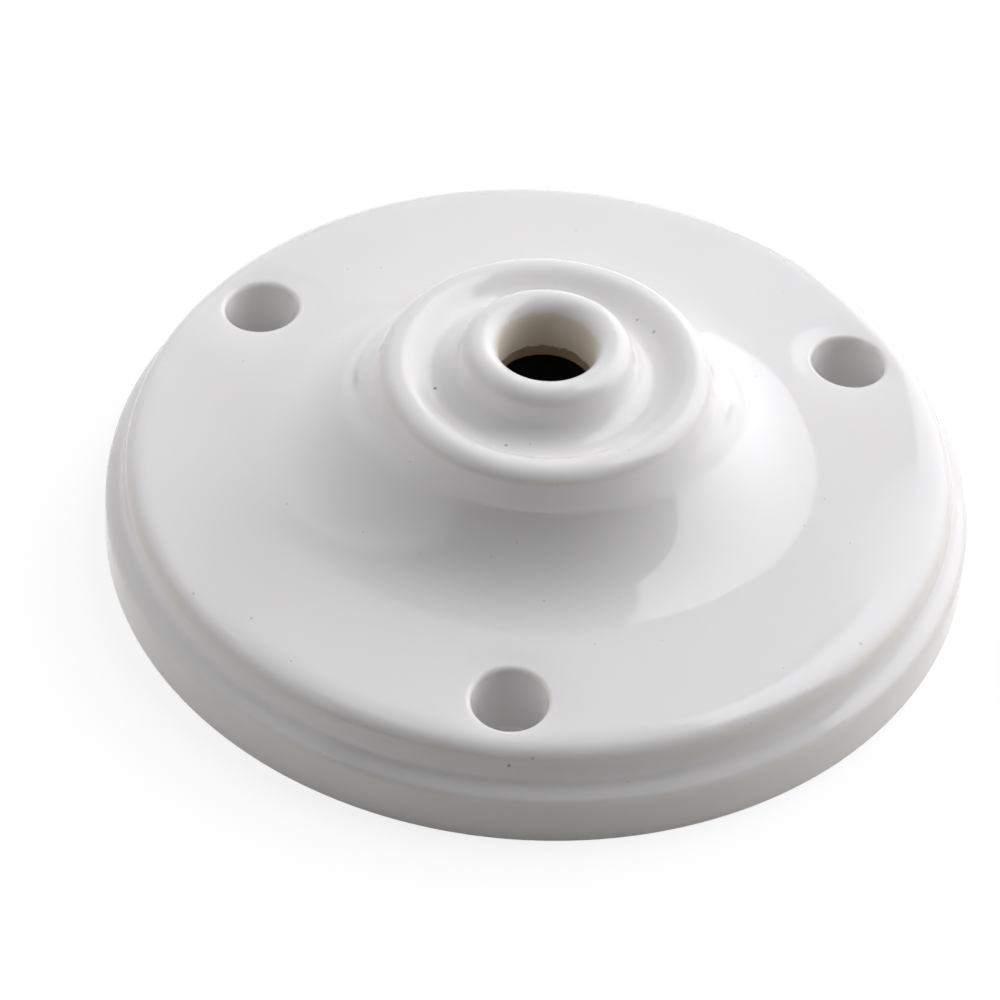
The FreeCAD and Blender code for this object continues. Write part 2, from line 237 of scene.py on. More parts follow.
def even_steps(points, step):
    """The same line with points at even steps along it."""
    lengths = [0.0]
    for here, there in zip(points, points[1:]):
        lengths.append(lengths[-1] + (there - here).length)
    count = math.ceil(lengths[-1] / step)
    even = []
    for k in range(count + 1):
        target = lengths[-1] * k / count
        place = min(max(bisect.bisect_left(lengths, target), 1), len(points) - 1)
        run = lengths[place] - lengths[place - 1]
        share = (target - lengths[place - 1]) / run if run else 0.0
        even.append(points[place - 1].lerp(points[place], share))
    return even


def thin_out(points, turn, reach):
    """Keeps the points that a smooth line needs: one for each small turn or each reach of length."""
    kept = [points[0]]
    turned = travelled = 0.0
    for before, here, after in zip(points, points[1:], points[2:]):
        step = here - before
        travelled += step.length
        if step.length and (after - here).length:
            turned += abs(step.angle_signed(after - here))
        if turned >= turn or travelled >= reach:
            kept.append(here)
            turned = travelled = 0.0
    return kept + [points[-1]]


class Section:
    """Half the section of the rose, as radius and height in metres."""

    STEP = 0.1 * MM
    ROW_TURN = math.radians(6.0)
    ROW_REACH = 1.3 * MM

    def __init__(self, s):
        self.s = s
        self.base = s.base_diameter / 2
        self.bore = s.bore_diameter / 2
        bead_height = s.band_height + s.cove_rise + s.bead_rise
        self.bead = Vector((self.base - s.cove_inset - s.bead_round, bead_height))
        rise = (self.bead.x - s.flare_diameter / 2) * math.tan(s.plate_slope)
        self.plate_height = self.bead.y + s.bead_round / math.cos(s.plate_slope) + rise
        self.crest = self.plate_height + s.ring_rise
        self.top = self.crest + s.collar_rise
        self.dome_height = self.top - s.bore_length
        self.roof = self.plate_height - s.plate_wall
        self.screw_radius = s.screw_circle / 2
        self.line = self.face_line()

    def face_line(self):
        """The face's line from the band's foot to the bore's end, its corners softened by the glaze."""
        s = self.s
        foot = Vector((self.base - s.foot_round, s.foot_round))
        ledge = Vector((self.base - s.band_round, s.band_height - s.band_round))
        cove_start = ledge + Vector((0.0, s.band_round))
        overhang = math.sqrt(s.bead_round ** 2 - s.bead_rise ** 2)
        crease = self.bead + Vector((overhang, -s.bead_rise))
        cove = left_crossing(crease, s.cove_round, cove_start, s.cove_round)
        normal = Vector((math.sin(s.plate_slope), math.cos(s.plate_slope)))
        plate_start = self.bead + normal * s.bead_round
        flare_foot = Vector((s.flare_diameter / 2, self.plate_height))
        self.ring_edge = Vector((s.ring_diameter / 2, self.crest - s.ring_drop))
        ring_inset = math.sqrt(2 * s.ring_round * s.ring_drop - s.ring_drop ** 2)
        ring = Vector((self.ring_edge.x - ring_inset, self.crest - s.ring_round))
        chord = self.ring_edge - flare_foot
        flare = flare_foot + normal * (chord.length_squared / (2 * chord.dot(normal)))
        lip_round = s.collar_wall / 2
        lip = Vector((self.bore + lip_round, self.top - lip_round))
        reach = Vector((lip_round, 0.0))
        collar_foot = lip + reach - Vector((0.0, s.collar_side))
        apart = ring - collar_foot
        groove_round = (apart.length_squared - s.ring_round ** 2) / (2 * (apart.x + s.ring_round))
        groove = collar_foot + Vector((groove_round, 0.0))
        inner_side = ring + (groove - ring).normalized() * s.ring_round
        step = self.STEP
        points = walk_arc(foot, Vector((foot.x, 0.0)), Vector((self.base, foot.y)), step)
        points += walk_line(Vector((self.base, foot.y)), Vector((self.base, ledge.y)), step)
        points += walk_arc(ledge, Vector((self.base, ledge.y)), cove_start, step)
        points += walk_arc(cove, cove_start, crease, step, -1)
        points += walk_arc(self.bead, crease, plate_start, step)
        points += walk_line(plate_start, flare_foot, step)
        points += walk_arc(flare, flare_foot, self.ring_edge, step, -1)
        points += walk_arc(ring, self.ring_edge, inner_side, step)
        points += walk_arc(groove, inner_side, collar_foot, step, -1)
        points += walk_line(collar_foot, lip + reach, step)
        points += walk_arc(lip, lip + reach, lip - reach, step)
        points += walk_line(lip - reach, Vector((self.bore, self.dome_height)), step)
        return soften(even_steps(points, step), s.glaze_flow, step)

    def split(self, outer, inner):
        """The face's line as rows: outside one radius on the plate, and inside another."""
        line = self.line
        crest = max(range(len(line)), key=lambda k: line[k].y)
        first = next(k for k in range(crest) if line[k].x <= outer and line[k].y > self.roof)
        last = next(k for k in range(first, crest) if line[k].x <= inner)
        self.plate = line[first - 1:last + 1]
        outside = line[:first] + [self.on_plate(outer)]
        inside = [self.on_plate(inner)] + line[last:] + [Vector((self.bore, 0.0))]
        return [thin_out(rows, self.ROW_TURN, self.ROW_REACH) for rows in (outside, inside)]

    def on_plate(self, radius):
        """The point of the plate at a radius."""
        last = len(self.plate) - 1
        place = next(k for k in range(1, last + 1) if self.plate[k].x <= radius or k == last)
        before, after = self.plate[place - 1], self.plate[place]
        share = (before.x - radius) / (before.x - after.x)
        return Vector((radius, before.y + (after.y - before.y) * share))

    def hollow_line(self):
        """The line of the hollow behind the face, from below the rim to above the bore's end."""
        s = self.s
        wall = self.base - s.rim_wall
        below = -s.rim_wall
        corner = Vector((wall - s.hollow_round, self.roof - s.hollow_round))
        roof_end = Vector((s.flare_diameter / 2, self.roof))
        dome = Vector((self.bore + s.dome_ledge, self.dome_height - s.dome_round))
        offset = roof_end - dome
        sweep = (offset.length_squared - s.dome_round ** 2) / (2 * (s.dome_round - offset.y))
        flare = roof_end + Vector((0.0, sweep))
        meeting = dome + (flare - dome).normalized() * s.dome_round
        crown = dome + Vector((0.0, s.dome_round))
        edge = Vector((wall + s.back_round, s.back_round))
        end = Vector((self.bore + s.bore_edge_round, self.dome_height + s.bore_edge_round))
        step = self.STEP
        points = [Vector((0.0, below)), Vector((edge.x, below))]
        points += walk_line(Vector((edge.x, below)), Vector((edge.x, 0.0)), s.rim_wall)
        points += walk_arc(edge, Vector((edge.x, 0.0)), Vector((wall, edge.y)), step, -1)
        points += walk_line(Vector((wall, edge.y)), Vector((wall, corner.y)), step)
        points += walk_arc(corner, Vector((wall, corner.y)), Vector((corner.x, self.roof)), step)
        points += walk_line(Vector((corner.x, self.roof)), roof_end, step)
        points += walk_arc(flare, roof_end, meeting, step, -1)
        points += walk_arc(dome, meeting, crown, step)
        points += walk_line(crown, Vector((end.x, self.dome_height)), step)
        points += walk_arc(end, Vector((end.x, self.dome_height)), Vector((self.bore, end.y)), step, -1)
        tip = Vector((0.0, end.y + s.bore_edge_round))
        return thin_out(points, self.ROW_TURN, 2 * self.ROW_REACH) + [tip]


class Quilt:
    """Points and faces of a mesh, added in strips of rows."""

    MERGE = 0.0001 * MM

    def __init__(self):
        self.points = []
        self.faces = []

    def strip(self, rows, closed):
        """Faces between each row of points and the next; a closed strip's rows are loops."""
        start = len(self.points)
        width = len(rows[0])
        for row in rows:
            self.points += row
        for low in range(len(rows) - 1):
            for left in range(width if closed else width - 1):
                right = (left + 1) % width
                a, b = start + low * width + left, start + low * width + right
                self.faces.append((a, b, b + width, a + width))

    def lathe(self, line, columns):
        """A closed solid from a line that begins and ends on the axis."""
        start = len(self.points)
        rows = [ring(point.x, point.y, columns) for point in line[1:-1]]
        self.strip(rows, True)
        for tip, row in ((line[0], 0), (line[-1], len(rows) - 1)):
            first = start + row * columns
            centre = len(self.points)
            self.points.append(Vector((0.0, 0.0, tip.y)))
            pairs = [(left, (left + 1) % columns) for left in range(columns)]
            self.faces += [(first + left, first + right, centre) for left, right in pairs]

    def mesh(self, name):
        """The mesh, with the strips' edges joined and its faces outward."""
        mesh = bpy.data.meshes.new(name)
        mesh.from_pydata(self.points, [], self.faces)
        work = bmesh.new()
        work.from_mesh(mesh)
        bmesh.ops.remove_doubles(work, verts=work.verts, dist=self.MERGE)
        bmesh.ops.recalc_face_normals(work, faces=work.faces)
        work.to_mesh(mesh)
        work.free()
        return mesh


def screw_turns():
    """Azimuths of the screws."""
    return [FIRST_SCREW + FULL_TURN * k / SCREWS["count"] for k in range(SCREWS["count"])]


def polar(radius, turn, height):
    """The point at a radius, an azimuth and a height."""
    return Vector((radius * math.cos(turn), radius * math.sin(turn), height))


def ring(radius, height, columns):
    """Points evenly round the axis."""
    return [polar(radius, FULL_TURN * k / columns, height) for k in range(columns)]


class Body:
    """The turned body with its screw recesses, before it is hollowed."""

    PATCH_COLUMNS = 7
    PATCH_ROWS = 14
    PATCH_RINGS = 5
    MOUTH_RINGS = 7
    BACK_RINGS = 4

    def __init__(self, section):
        self.section = section
        self.s = section.s
        self.quilt = Quilt()
        self.columns = self.s.columns
        half = section.screw_radius * FULL_TURN * self.PATCH_COLUMNS / self.columns
        self.outer = section.screw_radius + half
        self.inner = section.screw_radius - half
        self.screws = screw_turns()

    def on_face(self, x, y):
        """The plate's surface over a place, sunk a little beside a recess."""
        reach = math.hypot(x, y)
        axes = [polar(self.section.screw_radius, turn, 0.0) for turn in self.screws]
        away = min(math.dist((x, y), axis[:2]) for axis in axes)
        beyond = max(0.0, away - self.s.head_diameter / 2)
        sunk = self.s.dish_depth * math.exp(-((beyond / self.s.dish_reach) ** 2))
        return Vector((x, y, self.section.on_plate(reach).y - sunk))

    def on_back(self, x, y):
        """The flat back over a place."""
        return Vector((x, y, 0.0))

    def patch_edge(self, turn, surface):
        """The loop of points round a recess's patch of the plate, from its outer right corner."""
        column = FULL_TURN / self.columns
        turns = [turn + column * k for k in range(-self.PATCH_COLUMNS, self.PATCH_COLUMNS + 1)]
        deep = (self.outer - self.inner) / self.PATCH_ROWS
        reaches = [self.outer - deep * k for k in range(self.PATCH_ROWS + 1)]
        loop = [(self.outer, t) for t in turns[:-1]]
        loop += [(r, turns[-1]) for r in reaches[:-1]]
        loop += [(self.inner, t) for t in turns[:0:-1]]
        loop += [(r, turns[0]) for r in reaches[:0:-1]]
        return [surface(r * math.cos(t), r * math.sin(t)) for r, t in loop]

    def patch_rings(self, turn, surface, radius, count):
        """Loops from a patch's edge in to a circle about the screw's axis."""
        edge = self.patch_edge(turn, surface)
        axis = polar(self.section.screw_radius, turn, 0.0)
        loops = []
        for k in range(count + 1):
            loop = []
            for point in edge:
                flat = Vector((point.x - axis.x, point.y - axis.y))
                spot = flat.lerp(flat.normalized() * radius, k / count)
                loop.append(surface(axis.x + spot.x, axis.y + spot.y))
            loops.append(loop)
        return loops

    def recess(self, turn):
        """One screw's recess: plate, mouth, wall, seat, shank hole and back."""
        s = self.s
        head, shank, mouth = s.head_diameter / 2, s.shank_diameter / 2, s.mouth_round
        axis = polar(self.section.screw_radius, turn, 0.0)
        loops = self.patch_rings(turn, self.on_face, head + mouth, self.PATCH_RINGS)
        rim = loops[-1]
        spokes = [Vector((p.x - axis.x, p.y - axis.y, 0.0)).normalized() for p in rim]
        for k in range(1, self.MOUTH_RINGS + 1):
            bend = math.pi / 2 * k / self.MOUTH_RINGS
            reach = head + mouth * (1 - math.sin(bend))
            drop = mouth * (1 - math.cos(bend))
            heights = [point.z - drop for point in rim]
            loops.append([axis + spoke * reach + UP * z for spoke, z in zip(spokes, heights)])
        seat, edge = s.seat_thickness, s.back_round
        steps = [(head, seat + 2 * mouth), (head, seat + mouth / 2), (head - mouth / 2, seat)]
        steps += [(shank + edge, seat), (shank, seat - edge), (shank, edge), (shank + edge, 0.0)]
        for reach, height in steps:
            loops.append([axis + spoke * reach + UP * height for spoke in spokes])
        loops += self.patch_rings(turn, self.on_back, shank + s.back_round, self.BACK_RINGS)[::-1]
        self.quilt.strip(loops, True)

    def between_recesses(self, surface):
        """The plate, or the back, between each recess's patch and the next."""
        pitch = self.columns // SCREWS["count"]
        deep = (self.outer - self.inner) / self.PATCH_ROWS
        between = range(self.PATCH_COLUMNS, pitch - self.PATCH_COLUMNS + 1)
        for screw in self.screws:
            turns = [screw + FULL_TURN * k / self.columns for k in between]
            rows = []
            for row in range(self.PATCH_ROWS + 1):
                reach = self.outer - deep * row
                rows.append([surface(reach * math.cos(t), reach * math.sin(t)) for t in turns])
            self.quilt.strip(rows, False)

    def all_round(self, rows):
        """Rows of the section that run right round the axis, in step with the recesses' patches."""
        turns = [FIRST_SCREW + FULL_TURN * k / self.columns for k in range(self.columns)]
        nearest, farthest = self.inner - self.s.dish_reach, self.outer + self.s.dish_reach
        loops = []
        for point in rows:
            loop = [polar(point.x, turn, point.y) for turn in turns]
            if nearest < point.x < farthest and point.y > self.section.roof:
                for spot in loop:
                    spot.z += self.dish(spot.x, spot.y)
            loops.append(loop)
        self.quilt.strip(loops, True)

    def dish(self, x, y):
        """How far the plate sinks at a place, as a negative height."""
        return self.on_face(x, y).z - self.section.on_plate(math.hypot(x, y)).y

    def mesh(self):
        """The whole body as one closed mesh."""
        outside, inside = self.section.split(self.outer, self.inner)
        self.all_round(outside)
        self.all_round(inside)
        for turn in self.screws:
            self.recess(turn)
        self.between_recesses(self.on_face)
        self.between_recesses(self.on_back)
        back = [self.section.bore, self.inner / 2, self.inner]
        self.all_round([Vector((radius, 0.0)) for radius in back])
        self.all_round([Vector((self.outer, 0.0)), outside[0]])
        return self.quilt.mesh("turned_body")


def pillar_mesh(section, screws):
    """The pillars that stay standing in the hollow, round the screws."""
    s = section.s
    quilt = Quilt()
    radius = s.head_diameter / 2 + s.pillar_wall
    edge = Vector((radius - s.back_round, s.back_round))
    top = section.roof + s.plate_wall / 2
    below = -2 * s.rim_wall
    line = [Vector((0.0, below)), Vector((edge.x, below))]
    line += walk_arc(edge, Vector((edge.x, 0.0)), Vector((radius, edge.y)), s.back_round / 5)
    line += [Vector((radius, top)), Vector((0.0, top))]
    for turn in screws:
        part = Quilt()
        part.lathe(line, PILLAR_COLUMNS)
        offset = polar(section.screw_radius, turn, 0.0)
        start = len(quilt.points)
        quilt.points += [point + offset for point in part.points]
        quilt.faces += [tuple(start + corner for corner in face) for face in part.faces]
    return quilt.mesh("pillars")


def new_object(name, mesh):
    """An object in the scene's own collection."""
    item = bpy.data.objects.new(name, mesh)
    bpy.context.scene.collection.objects.link(item)
    return item


def cut_away(name, mesh, tool_mesh):
    """A new mesh: the first solid less the second."""
    item = new_object(name, mesh)
    tool = new_object(f"{name}_tool", tool_mesh)
    cut = item.modifiers.new("cut", "BOOLEAN")
    cut.operation = "DIFFERENCE"
    cut.solver = "EXACT"
    cut.object = tool
    depsgraph = bpy.context.evaluated_depsgraph_get()
    result = bpy.data.meshes.new_from_object(item.evaluated_get(depsgraph))
    for scrap in (item, tool):
        bpy.data.objects.remove(scrap)
    if not result.polygons:
        raise RuntimeError(f"{name}: the cut left nothing")
    return result


class Value:
    """A socket of a node tree; arithmetic on it adds Math nodes."""

    def __init__(self, nodes, socket):
        self.nodes = nodes
        self.socket = socket

    def math(self, operation, *values):
        """A Math node over some values."""
        return self.nodes.node("ShaderNodeMath", {"operation": operation}, list(values))

    def __add__(self, other):
        return self.math("ADD", self, other)

    def __radd__(self, other):
        return self.math("ADD", other, self)

    def __sub__(self, other):
        return self.math("SUBTRACT", self, other)

    def __rsub__(self, other):
        return self.math("SUBTRACT", other, self)

    def __mul__(self, other):
        return self.math("MULTIPLY", self, other)

    def __rmul__(self, other):
        return self.math("MULTIPLY", other, self)

    def __truediv__(self, other):
        return self.math("DIVIDE", self, other)

    def __rtruediv__(self, other):
        return self.math("DIVIDE", other, self)

    def __pow__(self, other):
        return self.math("POWER", self, other)

    def clamp(self):
        """The value held between 0 and 1."""
        return self.nodes.node("ShaderNodeClamp", {}, [self])

    def max(self, other):
        """The greater of two."""
        return self.math("MAXIMUM", self, other)

    def min(self, other):
        """The lesser of two."""
        return self.math("MINIMUM", self, other)

    def size(self):
        """The value without its sign."""
        return self.math("ABSOLUTE", self)

    def above(self, edge, blend):
        """1 where the value is over an edge, 0 below it, with a blend between."""
        return ((self - edge) / blend + 0.5).clamp()


class Nodes:
    """The node tree of a material or a world."""

    def __init__(self, owner):
        owner.use_nodes = True
        self.tree = owner.node_tree
        self.tree.nodes.clear()

    def node(self, kind, settings=None, inputs=(), output=0):
        """Any node: its settings first, then the values or links of its inputs, by place or by name."""
        node = self.tree.nodes.new(kind)
        for name, value in (settings or {}).items():
            setattr(node, name, value)
        pairs = inputs.items() if isinstance(inputs, dict) else enumerate(inputs)
        for key, value in pairs:
            if isinstance(value, Value):
                self.tree.links.new(value.socket, node.inputs[key])
            elif value is not None:
                node.inputs[key].default_value = value
        return Value(self, node.outputs[output]) if node.outputs else node

    def mix(self, share, first, second):
        """A colour between two."""
        inputs = {"Factor": share, 6: opaque(first), 7: opaque(second)}
        return self.node("ShaderNodeMix", {"data_type": "RGBA"}, inputs, 2)

    def split(self, vector):
        """The three parts of a vector."""
        return [self.node("ShaderNodeSeparateXYZ", {}, [vector], axis) for axis in "XYZ"]

    def ray_is(self, *kinds):
        """1 for rays of any of some kinds."""
        seen = self.node("ShaderNodeLightPath", {}, (), f"Is {kinds[0]} Ray")
        return seen.max(self.ray_is(*kinds[1:])) if kinds[1:] else seen


def opaque(value):
    """A colour with full alpha; a socket stays as it is."""
    return value if isinstance(value, Value) else (*value, 1.0)


# Iron specks: radius from the axis and height in millimetres, azimuth in degrees, width in millimetres.
BLACK_SPECKS = (
    (12.86, 23.9, -161.4, 0.34),
    (14.11, 24.25, 46.4, 0.22),
    (14.38, 24.45, 34.9, 0.3),
    (47.8, 9.57, -89.1, 0.36),
)
RUSTY_SPECKS = (
    (12.76, 23.9, -105.4, 0.34),
    (47.43, 10.62, -86.1, 0.34),
    (46.06, 11.67, -142.6, 0.26),
    (43.17, 11.97, -133.4, 0.24),
    (46.16, 11.64, -34.2, 0.32),
)


class Glaze:
    """The porcelain's surface as shares of its finishes, over the nodes of its material."""

    # Noises, each with its scale and detail.
    RAGGED = (900.0, 2.0)
    SPECK_EDGE = (4000.0, 1.0)
    CLOUDS = (60.0, 3.0)
    GRAIN = (400.0, 4.0)
    WAVES = (180.0, 1.0)
    PINHOLE_CELLS = 300.0
    PINHOLE = 0.045            # reach of a pinhole, in cells

    # Widths of the lines where the glaze is thin and of the painted shade in the ring's crease, and
    # places of the finishes' edges.
    EDGE = 0.2 * MM
    # Painted shade: width of the warm darker line along the crease where the flare meets the ring.
    RING_CREASE_SHADE = 0.6 * MM
    BEAD_LINE = 1.8 * MM
    BEAD_LINE_RISE = 0.8 * MM
    BAND_EDGE = 0.4 * MM
    BAND_BLEND = 0.6 * MM
    MOUTH_LINE = 0.6 * MM
    MOUTH_DEPTH = 0.5 * MM
    SPECK_RAGGED = 0.5 * MM
    BORE_LINE = 0.45 * MM
    RIM_LINE = 0.3 * MM
    SCREW_LINE = 1.0 * MM
    BARE_RISE = 0.9 * MM       # from the foot of the lip's rounding up to the bare clay's edge
    DARK_END_RISE = 1.8 * MM      # from the bore's end up to the dark brown's edge
    FACING_DOWN = -0.2         # a normal's height at the edge of what faces down
    FACING_BLEND = 0.2

    # Shares of the finishes where they are strongest.
    THIN = 0.55
    THIN_BAND = 0.55
    THIN_MOUTH = 0.5
    CLOUD = 0.12
    PINHOLE_TINT = 0.45
    RUSTY = 0.7
    BLACK = 0.75
    MOTTLE = 0.4

    # Relief of the glaze, and how far red, green and blue spread under it, beside each other.
    PINHOLE_DEPTH = 0.6
    RELIEF = 0.03
    RELIEF_HEIGHT = 0.3 * MM
    SPREAD = (1.0, 0.93, 0.85)

    def __init__(self, nodes, section):
        self.nodes = nodes
        self.section = section
        self.position = nodes.node("ShaderNodeNewGeometry", {}, (), "Position")
        self.x, self.y, self.z = nodes.split(self.position)
        self.reach = (self.x * self.x + self.y * self.y) ** 0.5
        self.rough_edge = (self.noise(self.RAGGED) - 0.5) * MM

    def noise(self, pattern):
        """Noise of some scale and detail."""
        scale, detail = pattern
        inputs = {"Vector": self.position, "Scale": scale, "Detail": detail}
        return self.nodes.node("ShaderNodeTexNoise", {}, inputs)

    def circle(self, radius, height, width):
        """1 on a circle about the axis, falling to 0 a width away."""
        away = ((self.reach - radius) ** 2.0 + (self.z - height) ** 2.0) ** 0.5
        return (1.0 - away / width).clamp()

    def from_screws(self):
        """Distance from the nearest screw's axis."""
        nearest = None
        for turn in screw_turns():
            axis = polar(self.section.screw_radius, turn, 0.0)
            away = ((self.x - axis.x) ** 2.0 + (self.y - axis.y) ** 2.0) ** 0.5
            nearest = nearest.min(away) if nearest else away
        return nearest

    def specks(self, places):
        """1 on each of some specks, with ragged edges."""
        ragged = (self.noise(self.SPECK_EDGE) - 0.5) * self.SPECK_RAGGED
        marks = None
        for radius, height, turn, width in places:
            centre = polar(radius * MM, math.radians(turn), height * MM)
            inputs = [self.position, tuple(centre)]
            away = self.nodes.node("ShaderNodeVectorMath", {"operation": "DISTANCE"}, inputs, "Value")
            mark = 1.0 - (away + ragged).above(width / 2 * MM, self.EDGE)
            marks = marks.max(mark) if marks else mark
        return marks

    def pinholes(self):
        """1 in tiny scattered pinholes."""
        inputs = {"Vector": self.position, "Scale": self.PINHOLE_CELLS}
        away = self.nodes.node("ShaderNodeTexVoronoi", {"feature": "F1"}, inputs, "Distance")
        return (1.0 - away / self.PINHOLE).clamp()

    def thin(self):
        """1 where the glaze is drawn thin, on the bead, the band and the mouths, and on the ring's
        edge, where it paints the shade of the crease between flare and ring.
        """
        section, s = self.section, self.section.s
        # Painted shade: a warm darker line along the crease where the flare meets the ring's edge.
        edge = self.circle(section.ring_edge.x, section.ring_edge.y, self.RING_CREASE_SHADE)
        bead_line = section.bead.y + self.BEAD_LINE_RISE
        bead = self.circle(section.base - s.cove_inset, bead_line, self.BEAD_LINE)
        band = self.reach.above(section.base - self.BAND_EDGE, self.BAND_BLEND) * self.THIN_BAND
        from_wall = (self.from_screws() - s.head_diameter / 2).size()
        mouth = (1.0 - from_wall / self.MOUTH_LINE).clamp() * self.THIN_MOUTH
        mouth_foot = section.bead.y + s.bead_round - self.MOUTH_DEPTH
        mouth = mouth * self.z.above(mouth_foot, self.MOUTH_DEPTH)
        return edge.max(bead).max(band).max(mouth)

    def in_bore(self, height):
        """1 in the bore below a height, with a ragged upper edge."""
        inside = 1.0 - self.reach.above(self.section.bore + self.BORE_LINE, self.EDGE)
        return inside * (1.0 - (self.z + self.rough_edge).above(height, self.EDGE))

    def behind(self):
        """1 on the foot and on everything in the hollow."""
        section, s = self.section, self.section.s
        normal = self.nodes.node("ShaderNodeNewGeometry", {}, (), "Normal")
        _, _, facing = self.nodes.split(normal)
        within = 1.0 - self.reach.above(section.base - s.rim_wall + self.RIM_LINE, self.EDGE)
        outside_screws = self.from_screws().above(s.head_diameter / 2 + self.SCREW_LINE, self.EDGE)
        walls = (1.0 - self.z.above(section.roof, self.EDGE)) * outside_screws
        downward = 1.0 - facing.above(self.FACING_DOWN, self.FACING_BLEND)
        foot = 1.0 - self.z.above(self.EDGE, self.EDGE)
        return (within * walls.max(downward)).max(foot)


def glazed_porcelain(section, look):
    """White glaze, thin and warm over edges, with painted shade in the ring's crease, and bare clay in
    the bore, the hollow and the foot.
    """
    material = bpy.data.materials.new("glazed_porcelain")
    nodes = Nodes(material)
    glaze = Glaze(nodes, section)
    lip = section.top - section.s.collar_wall / 2
    bore = glaze.in_bore(lip + glaze.BARE_RISE)
    behind = glaze.behind()
    bare = bore.max(behind)
    pinholes = glaze.pinholes()
    cloud = (glaze.noise(glaze.CLOUDS) - 0.5) * glaze.CLOUD
    # The thin mark holds thin glaze and also the painted crease shade at the ring.
    tint = nodes.mix((glaze.thin() * glaze.THIN + cloud).clamp(), look.glaze, look.thin_glaze_and_crease_shade)
    tint = nodes.mix(pinholes * glaze.PINHOLE_TINT, tint, look.iron)
    tint = nodes.mix(glaze.specks(RUSTY_SPECKS) * glaze.RUSTY, tint, look.rust)
    tint = nodes.mix(glaze.specks(BLACK_SPECKS) * glaze.BLACK, tint, look.iron)
    clay = nodes.mix(glaze.noise(glaze.GRAIN) * glaze.MOTTLE, look.clay, look.bisque)
    tint = nodes.mix(behind, tint, clay)
    tint = nodes.mix(bore, tint, look.bisque)
    # Dark brown over the bore's lower end, below a ragged edge.
    tint = nodes.mix(glaze.in_bore(section.dome_height + glaze.DARK_END_RISE), tint, look.dark_bore_end)
    rough = look.glaze_roughness + bare * (look.bisque_roughness - look.glaze_roughness)
    relief = glaze.noise(glaze.WAVES) - pinholes * glaze.PINHOLE_DEPTH
    bump_inputs = {"Strength": glaze.RELIEF, "Distance": glaze.RELIEF_HEIGHT, "Height": relief}
    bump = nodes.node("ShaderNodeBump", {}, bump_inputs)
    inputs = {"Base Color": tint, "Roughness": rough, "Normal": bump}
    inputs |= {"Subsurface Weight": look.scatter, "Subsurface Scale": look.depth}
    inputs |= {"Subsurface Radius": glaze.SPREAD}
    surface = nodes.node("ShaderNodeBsdfPrincipled", {"subsurface_method": "BURLEY"}, inputs)
    nodes.node("ShaderNodeOutputMaterial", {}, {"Surface": surface})
    return material


class ROSE_OT_body(Operator):
    """Turn, hollow and glaze the rose"""

    bl_idname = "rose.body"
    bl_label = "Body"

    def execute(self, context):
        section = Section(context.scene.rose_sizes)
        body = Body(section)
        solid = body.mesh()
        hollow = Quilt()
        hollow.lathe(section.hollow_line(), section.s.columns)
        room = cut_away("hollow", hollow.mesh("hollow"), pillar_mesh(section, body.screws))
        mesh = cut_away("porcelain", solid, room)
        mesh.polygons.foreach_set("use_smooth", [True] * len(mesh.polygons))
        mesh.set_sharp_from_angle(angle=SHARP_TURN)
        rose = new_object("porcelain_rose", mesh)
        mesh.materials.clear()
        mesh.materials.append(glazed_porcelain(section, context.scene.rose_glaze))
        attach(rose, BODY)
        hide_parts(NODE)
        return {"FINISHED"}


